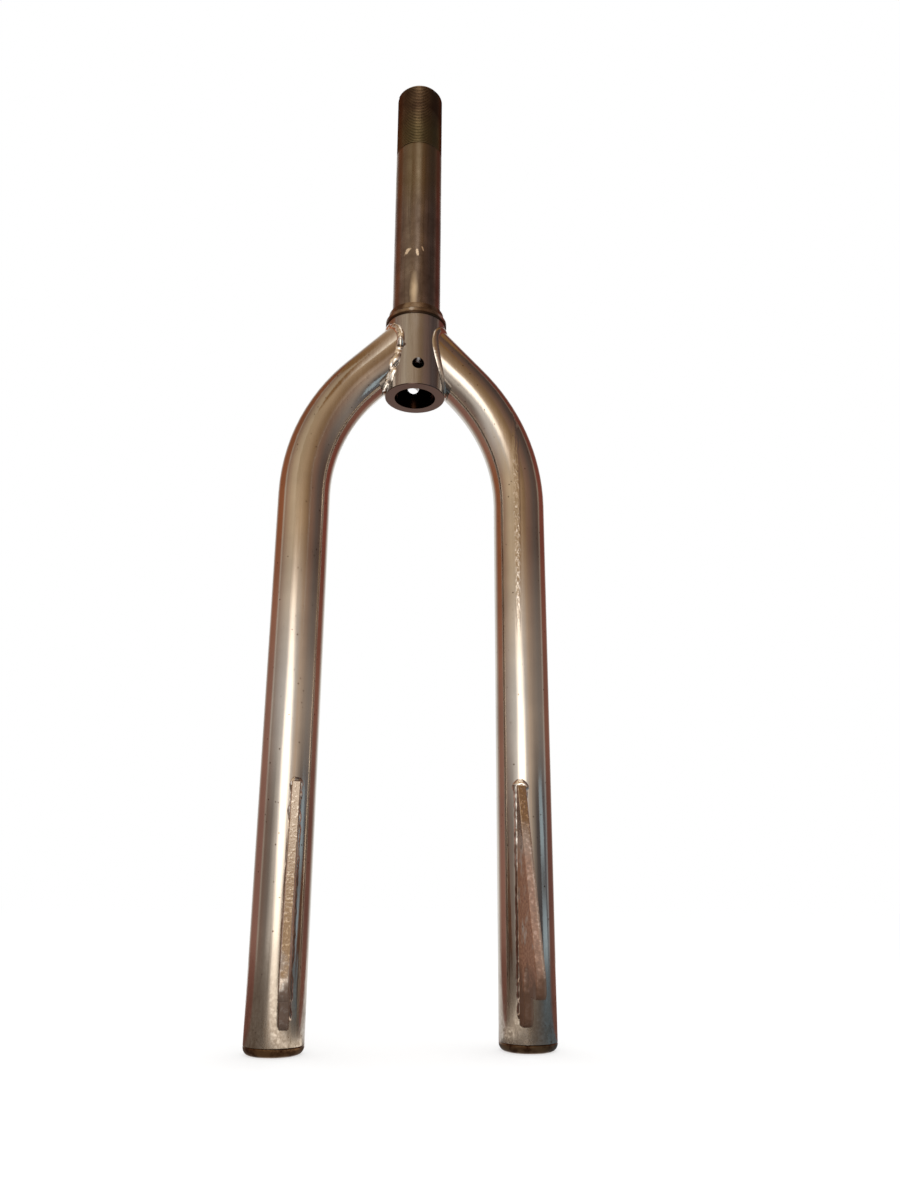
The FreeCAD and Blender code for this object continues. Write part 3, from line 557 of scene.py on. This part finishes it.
# Plate welds: a bead up the inner corner between each axle plate and its leg, over the plate's upper end and
# down the outer corner. The left one was run quickly, so it wanders and thins; the right one is more even.
PLATE_TOP = -239.9 * MM
BEAD_FOOT = -335 * MM
PLATE_INNER_X = 48 * MM
PLATE_MIDDLE_X = 50 * MM
PLATE_OUTER_X = 52 * MM
INNER_CORNER_Y = -11.19 * MM
OUTER_CORNER_Y = -12.54 * MM
BEAD_STEPS = 20
for word, side, spacing, smallest, wander, seed in (
        ("left", -1, 3.0 * MM, 0.42, 0.3 * MM, 3),
        ("right", 1, 1.5 * MM, 0.7, 0.12 * MM, 7)):
    points, outward = [], []
    for x, y, way, first, last in (
            (PLATE_INNER_X, INNER_CORNER_Y, -1, BEAD_FOOT, PLATE_TOP),
            (PLATE_OUTER_X, OUTER_CORNER_Y, 1, PLATE_TOP, BEAD_FOOT)):
        off_leg = Vector((side * (x - LEG_X), y, 0)).normalized()
        for step in range(BEAD_STEPS + 1):
            points.append((side * x, y, first + (last - first) * step / BEAD_STEPS))
            outward.append((off_leg + Vector((side * way, 0, 0))).normalized())
        if way < 0:
            points.append((side * PLATE_MIDDLE_X, -12.3 * MM, PLATE_TOP + 0.6 * MM))
            outward.append(Vector((0, -0.7, 0.7)))
    weld = weld_bead(f"plate_bead_{word}", points, outward, False,
                     {"Spacing": spacing, "Width": 1.6 * MM, "Height": 1.0 * MM, "Length": 3.2 * MM,
                      "Smallest": smallest, "Wander": wander, "Seed": seed}, bead_chrome)
    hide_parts(f"dropout_weld_{word}")


# Stage: a pale floor under the feet and a white surround, both brighter to the camera and the plating than
# as light. Glowing cards that only the plating mirrors give it the graded tones and bands of a room.
FLOOR_REACH = 6
WHITE = (1.0, 1.0, 1.0, 1.0)
floor_paper = bpy.data.materials.new("pale_floor_paper")
floor_paper.use_nodes = True
tree = floor_paper.node_tree
shader = tree.nodes["Principled BSDF"]
shader.inputs["Base Color"].default_value = (0.5, 0.5, 0.5, 1.0)
shader.inputs["Roughness"].default_value = 0.9
shader.inputs["Specular IOR Level"].default_value = 0.0
shader.inputs["Emission Color"].default_value = WHITE
ray = add(tree, "ShaderNodeLightPath", {}).outputs
mirrored = add(tree, "ShaderNodeMath", {0: ray["Is Camera Ray"], 1: ray["Is Glossy Ray"]},
               operation="MAXIMUM")
seen = add(tree, "ShaderNodeMath", {0: mirrored.outputs[0], 1: ray["Is Transmission Ray"]},
           operation="MAXIMUM")
glow = add(tree, "ShaderNodeMath", {0: seen.outputs[0], 1: 0.6}, operation="MULTIPLY")
tree.links.new(glow.outputs[0], shader.inputs["Emission Strength"])
data = bpy.data.meshes.new("floor")
corners = [(x * FLOOR_REACH, y * FLOOR_REACH, CAP_FOOT) for x, y in ((-1, -1), (1, -1), (1, 1), (-1, 1))]
data.from_pydata(corners, [], [(0, 1, 2, 3)])
data.materials.append(floor_paper)
floor = bpy.data.objects.new("floor", data)
bpy.context.scene.collection.objects.link(floor)

world = bpy.data.worlds.new("white_surround")
bpy.context.scene.world = world
world.use_nodes = True
tree = world.node_tree
ray = add(tree, "ShaderNodeLightPath", {}).outputs
mirrored = add(tree, "ShaderNodeMath", {0: ray["Is Camera Ray"], 1: ray["Is Glossy Ray"]},
               operation="MAXIMUM")
seen = add(tree, "ShaderNodeMath", {0: mirrored.outputs[0], 1: ray["Is Transmission Ray"]},
           operation="MAXIMUM")
level = add(tree, "ShaderNodeMapRange", {0: seen.outputs[0], 3: 0.8, 4: 1.0})
tree.nodes["Background"].inputs["Color"].default_value = WHITE
tree.links.new(level.outputs[0], tree.nodes["Background"].inputs["Strength"])

CARD_FOOT = -351 * MM
CARD_TOP = 1050 * MM
CARD_STEPS = 48


def new_card(name, corners, paint, faces=((0, 1, 2, 3),)):
    """A card that only the plating mirrors: the camera, the floor and the shadows don't see it."""
    data = bpy.data.meshes.new(name)
    data.from_pydata(corners, [], faces)
    data.materials.append(paint)
    card = bpy.data.objects.new(name, data)
    bpy.context.scene.collection.objects.link(card)
    card.visible_camera = False
    card.visible_diffuse = False
    card.visible_shadow = False
    card.visible_transmission = False
    return data


def card_paint(name):
    """A glowing paint for a card, with its tree and its emission shader."""
    paint = bpy.data.materials.new(name)
    paint.use_nodes = True
    tree = paint.node_tree
    tree.nodes.remove(tree.nodes["Principled BSDF"])
    shine = add(tree, "ShaderNodeEmission", {"Strength": 1.0})
    tree.links.new(shine.outputs[0], tree.nodes["Material Output"].inputs["Surface"])
    return paint, tree, shine


def curved_card(name, radius, start, end, levels, rows, glow=0.0):
    """A tall card round the fork: three rows graded along its bearings and, with glow, a bright patch."""
    paint, tree, shine = card_paint(f"{name}_paint")
    bearings = [math.radians(start + (end - start) * step / CARD_STEPS) for step in range(CARD_STEPS + 1)]
    row = len(bearings)
    foot = [(radius * math.sin(turn), -radius * math.cos(turn), CARD_FOOT) for turn in bearings]
    data = new_card(name, foot + [(x, y, CARD_TOP) for x, y, z in foot], paint,
                    [(step, step + 1, step + row + 1, step + row) for step in range(CARD_STEPS)])
    share = data.uv_layers.new(name="across").data
    for loop in data.loops:
        share[loop.index].uv = ((loop.vertex_index % row) / CARD_STEPS, loop.vertex_index // row)
    unrolled = add(tree, "ShaderNodeTexCoord", {}).outputs["UV"]
    across = add(tree, "ShaderNodeSeparateXYZ", {0: unrolled}).outputs
    shades = []
    for stops in rows:
        ramp = add(tree, "ShaderNodeValToRGB", {"Fac": across["X"]})
        for number, (bearing, code) in enumerate(stops):
            spot = (bearing - start) / (end - start)
            stop = ramp.color_ramp.elements[number] if number < 2 else ramp.color_ramp.elements.new(spot)
            stop.position = spot
            stop.color = linear(code)
        shades.append(ramp.outputs[0])
    first = add(tree, "ShaderNodeMapRange", {0: across["Y"], 1: levels[0], 2: levels[1]})
    second = add(tree, "ShaderNodeMapRange", {0: across["Y"], 1: levels[2], 2: levels[3]})
    lower = add(tree, "ShaderNodeMix", {0: first.outputs[0], 6: shades[0], 7: shades[1]}, data_type="RGBA")
    graded = add(tree, "ShaderNodeMix", {0: second.outputs[0], 6: lower.outputs[2], 7: shades[2]},
                 data_type="RGBA")
    upper = add(tree, "ShaderNodeMath", {0: across["Y"], 1: 0.3}, operation="MAXIMUM")
    slant = add(tree, "ShaderNodeMath", {0: upper.outputs[0], 1: 0.7, 2: across["X"]},
                operation="MULTIPLY_ADD")
    aside = add(tree, "ShaderNodeMapRange", {0: slant.outputs[0], 1: 0.6, 2: 0.94, 3: 0.0, 4: 1.0},
                clamp=False)
    above = add(tree, "ShaderNodeMapRange", {0: across["Y"], 1: 0.18, 2: 0.54, 3: 0.0, 4: 1.0}, clamp=False)
    off = add(tree, "ShaderNodeCombineXYZ", {"X": aside.outputs[0], "Y": above.outputs[0]})
    away = add(tree, "ShaderNodeVectorMath", {0: off.outputs[0]}, operation="LENGTH")
    patch = add(tree, "ShaderNodeMapRange",
                {0: away.outputs["Value"], 1: 1.0, 2: 0.25, 4: 1.0 if glow else 0.0},
                interpolation_type="SMOOTHSTEP")
    whiter = add(tree, "ShaderNodeMix", {0: patch.outputs[0], 6: graded.outputs[2], 7: linear("fff8ee")},
                 data_type="RGBA")
    aloft = add(tree, "ShaderNodeMapRange", {0: across["Y"], 1: 0.42, 2: 0.62, 3: 1.0, 4: 0.74})
    strength = add(tree, "ShaderNodeMath", {0: patch.outputs[0], 1: glow, 2: aloft.outputs[0]},
                   operation="MULTIPLY_ADD")
    tree.links.new(whiter.outputs[2], shine.inputs["Color"])
    tree.links.new(strength.outputs[0], shine.inputs["Strength"])


# Curved cards to the right, to the left and in front: each row, from the lowest up, gives bearings in degrees
# and the colour there, first at the card's two ends and then between them. The brown from 97 to 130 degrees
# on either side is the band along each tube.
curved_card("card_right", 0.62, 25, 152, (0.10, 0.18, 0.20, 0.32), (
    [(25, "cfc4b8"), (152, "d8d4ce"), (45, "6a6566"), (62, "5c5a5e"), (84, "72747f"), (90, "b9c4cc"),
     (97, "8b6158"), (130, "8b6158")],
    [(25, "e6d2c0"), (152, "d8d4ce"), (44, "bfb1a6"), (68, "a8a09b"), (84, "a89c94"), (90, "d5cfc8"),
     (97, "a07060"), (130, "9a6a5c")],
    [(25, "a48773"), (152, "d8d4ce"), (37, "97796b"), (62, "726561"), (84, "6a5750"), (90, "b5a99c"),
     (97, "95564a"), (130, "8c5044")]))
curved_card("card_left", 0.62, -40, -152, (0.10, 0.18, 0.20, 0.32), (
    [(-40, "fbf6f0"), (-152, "d8d4ce"), (-58, "9a918b"), (-84, "937c72"), (-90, "c8beb4"),
     (-97, "ad8379"), (-130, "a67c70")],
    [(-40, "ffffff"), (-152, "d8d4ce"), (-65, "dcd6d4"), (-84, "bfb0a8"), (-90, "e8e4de"),
     (-97, "b98e80"), (-130, "ad8070")],
    [(-40, "f4dfc2"), (-152, "d8d4ce"), (-58, "e6cfb2"), (-84, "bb9a86"), (-90, "e0d4c4"),
     (-97, "b57654"), (-130, "ab6c4c")]))
curved_card("card_front", 1.3, -42, 27, (0.05, 0.18, 0.32, 0.52), (
    [(-42, "f6f0ea"), (27, "cfc4b8")],
    [(-42, "ffffff"), (27, "e6d2c0"), (2, "ffffff"), (20, "ecd7c4")],
    [(-42, "f4dbb8"), (27, "a48773"), (-10, "efd0ac"), (13, "bc9a76")]), glow=2.6)

# A low blue card to the right gives the cold streaks at the feet and by the left crown weld.
blue_paint, tree, shine = card_paint("pale_blue_dim_in_the_middle")
where = add(tree, "ShaderNodeSeparateXYZ", {0: add(tree, "ShaderNodeTexCoord", {}).outputs["Object"]}).outputs
above_dim = add(tree, "ShaderNodeMath", {0: where["Z"], 1: 0.272}, operation="ADD")
from_dim = add(tree, "ShaderNodeMath", {0: above_dim.outputs[0]}, operation="ABSOLUTE")
fade = add(tree, "ShaderNodeMapRange", {0: from_dim.outputs[0], 1: 0.008, 2: 0.034})
shade = add(tree, "ShaderNodeMix", {0: fade.outputs[0], 6: linear("7b7f85"), 7: linear("c3dcee")},
            data_type="RGBA")
tree.links.new(shade.outputs[2], shine.inputs["Color"])
new_card("card_blue_right", [(0.530, -0.282, -0.350), (0.597, -0.060, -0.350), (0.565, -0.200, -0.175),
                             (0.505, -0.340, -0.175)], blue_paint)

# Two brown cards on the floor behind carry the tubes' brown bands down to the feet.
brown_paint, tree, shine = card_paint("brown")
shine.inputs["Color"].default_value = linear("94655a")
for word, side in (("left", -1), ("right", 1)):
    new_card(f"card_brown_{word}", [(side * 0.03, 0.02, CARD_FOOT), (side * 0.62, 0.02, CARD_FOOT),
                                    (side * 0.62, 0.40, CARD_FOOT), (side * 0.40, 0.48, CARD_FOOT)],
             brown_paint)

# A warm card overhead, with a pale strip left of the middle, gives the tops of the bends their golden tone.
warm_paint, tree, shine = card_paint("warm_with_a_pale_strip")
where = add(tree, "ShaderNodeSeparateXYZ", {0: add(tree, "ShaderNodeTexCoord", {}).outputs["Object"]}).outputs
beside = add(tree, "ShaderNodeMath", {0: where["X"], 1: -0.13}, operation="SUBTRACT")
away = add(tree, "ShaderNodeMath", {0: beside.outputs[0]}, operation="ABSOLUTE")
strip = add(tree, "ShaderNodeMapRange", {0: away.outputs[0], 1: 0.34, 2: 0.02})
shade = add(tree, "ShaderNodeMix", {0: strip.outputs[0], 6: linear("a07a50"), 7: linear("fff6ea")},
            data_type="RGBA")
tree.links.new(shade.outputs[2], shine.inputs["Color"])
brighter = add(tree, "ShaderNodeMapRange", {0: strip.outputs[0], 3: 1.0, 4: 1.5})
tree.links.new(brighter.outputs[0], shine.inputs["Strength"])
new_card("card_overhead", [(-1.2, -1.4, CARD_TOP), (1.2, -1.4, CARD_TOP), (1.2, 0.8, CARD_TOP),
                           (-1.2, 0.8, CARD_TOP)], warm_paint)

# A grey card on the floor in front, cooler to the right, has a pale streak that runs out from the fork.
low_paint, tree, shine = card_paint("grey_with_a_pale_streak")
where = add(tree, "ShaderNodeSeparateXYZ", {0: add(tree, "ShaderNodeTexCoord", {}).outputs["Object"]}).outputs
ahead = add(tree, "ShaderNodeMath", {0: 0.05, 1: where["Y"]}, operation="SUBTRACT")
bearing = add(tree, "ShaderNodeMath", {0: where["X"], 1: ahead.outputs[0]}, operation="DIVIDE")
beside = add(tree, "ShaderNodeMath", {0: bearing.outputs[0], 1: -0.3}, operation="SUBTRACT")
away = add(tree, "ShaderNodeMath", {0: beside.outputs[0]}, operation="ABSOLUTE")
streak = add(tree, "ShaderNodeMapRange", {0: away.outputs[0], 1: 0.42, 2: 0.12})
cooler = add(tree, "ShaderNodeMapRange", {0: bearing.outputs[0], 1: 0.4, 2: 1.4})
plain = add(tree, "ShaderNodeMix", {0: cooler.outputs[0], 6: linear("8f857c"), 7: linear("73838f")},
            data_type="RGBA")
shade = add(tree, "ShaderNodeMix", {0: streak.outputs[0], 6: plain.outputs[2], 7: linear("fff8ee")},
            data_type="RGBA")
tree.links.new(shade.outputs[2], shine.inputs["Color"])
brighter = add(tree, "ShaderNodeMapRange", {0: streak.outputs[0], 3: 1.0, 4: 2.0})
tree.links.new(brighter.outputs[0], shine.inputs["Strength"])
new_card("card_low", [(-1.2, -1.4, CARD_FOOT), (1.2, -1.4, CARD_FOOT), (1.2, 0.02, CARD_FOOT),
                      (-1.2, 0.02, CARD_FOOT)], low_paint)

# Two soft lamps aim at the middle of the fork. The plating mirrors the cards, not the lamps.
fork_middle = Vector((0, 0, -0.12))
for name, spot, size, power in (
        ("front_lamp", (-0.33, -1.15, 0.35), (0.5, 0.6), 2.4),
        ("overhead_lamp", (0.15, -0.35, 1.3), (0.9, 0.7), 3.0)):
    lamp = bpy.data.lights.new(name, "AREA")
    lamp.shape = "RECTANGLE"
    lamp.size, lamp.size_y = size
    lamp.energy = power
    lamp.color = (1.0, 0.98, 0.95)
    stand = bpy.data.objects.new(name, lamp)
    stand.location = spot
    stand.rotation_euler = (fork_middle - Vector(spot)).to_track_quat("-Z", "Y").to_euler()
    stand.visible_camera = False
    stand.visible_glossy = False
    bpy.context.scene.collection.objects.link(stand)

# The camera stands low and close in front of the feet, where the photograph was taken from.
camera_data = bpy.data.cameras.new("camera")
camera_data.lens = 28.5
camera_data.sensor_width = 36
camera_data.clip_start = 0.01
camera = bpy.data.objects.new("camera", camera_data)
right = Vector((0.990868, -0.134742, 0.005106))
up = Vector((-0.045291, -0.296919, 0.953828))
toward = Vector((-0.127005, -0.945349, -0.300310))
stand_point = Vector((-0.03988534, -0.43861871, -0.28970591))
camera.matrix_world = Matrix((
    (right.x, up.x, toward.x, stand_point.x),
    (right.y, up.y, toward.y, stand_point.y),
    (right.z, up.z, toward.z, stand_point.z),
    (0, 0, 0, 1)))
bpy.context.scene.collection.objects.link(camera)
bpy.context.scene.camera = camera
bpy.context.scene.view_settings.view_transform = "Standard"
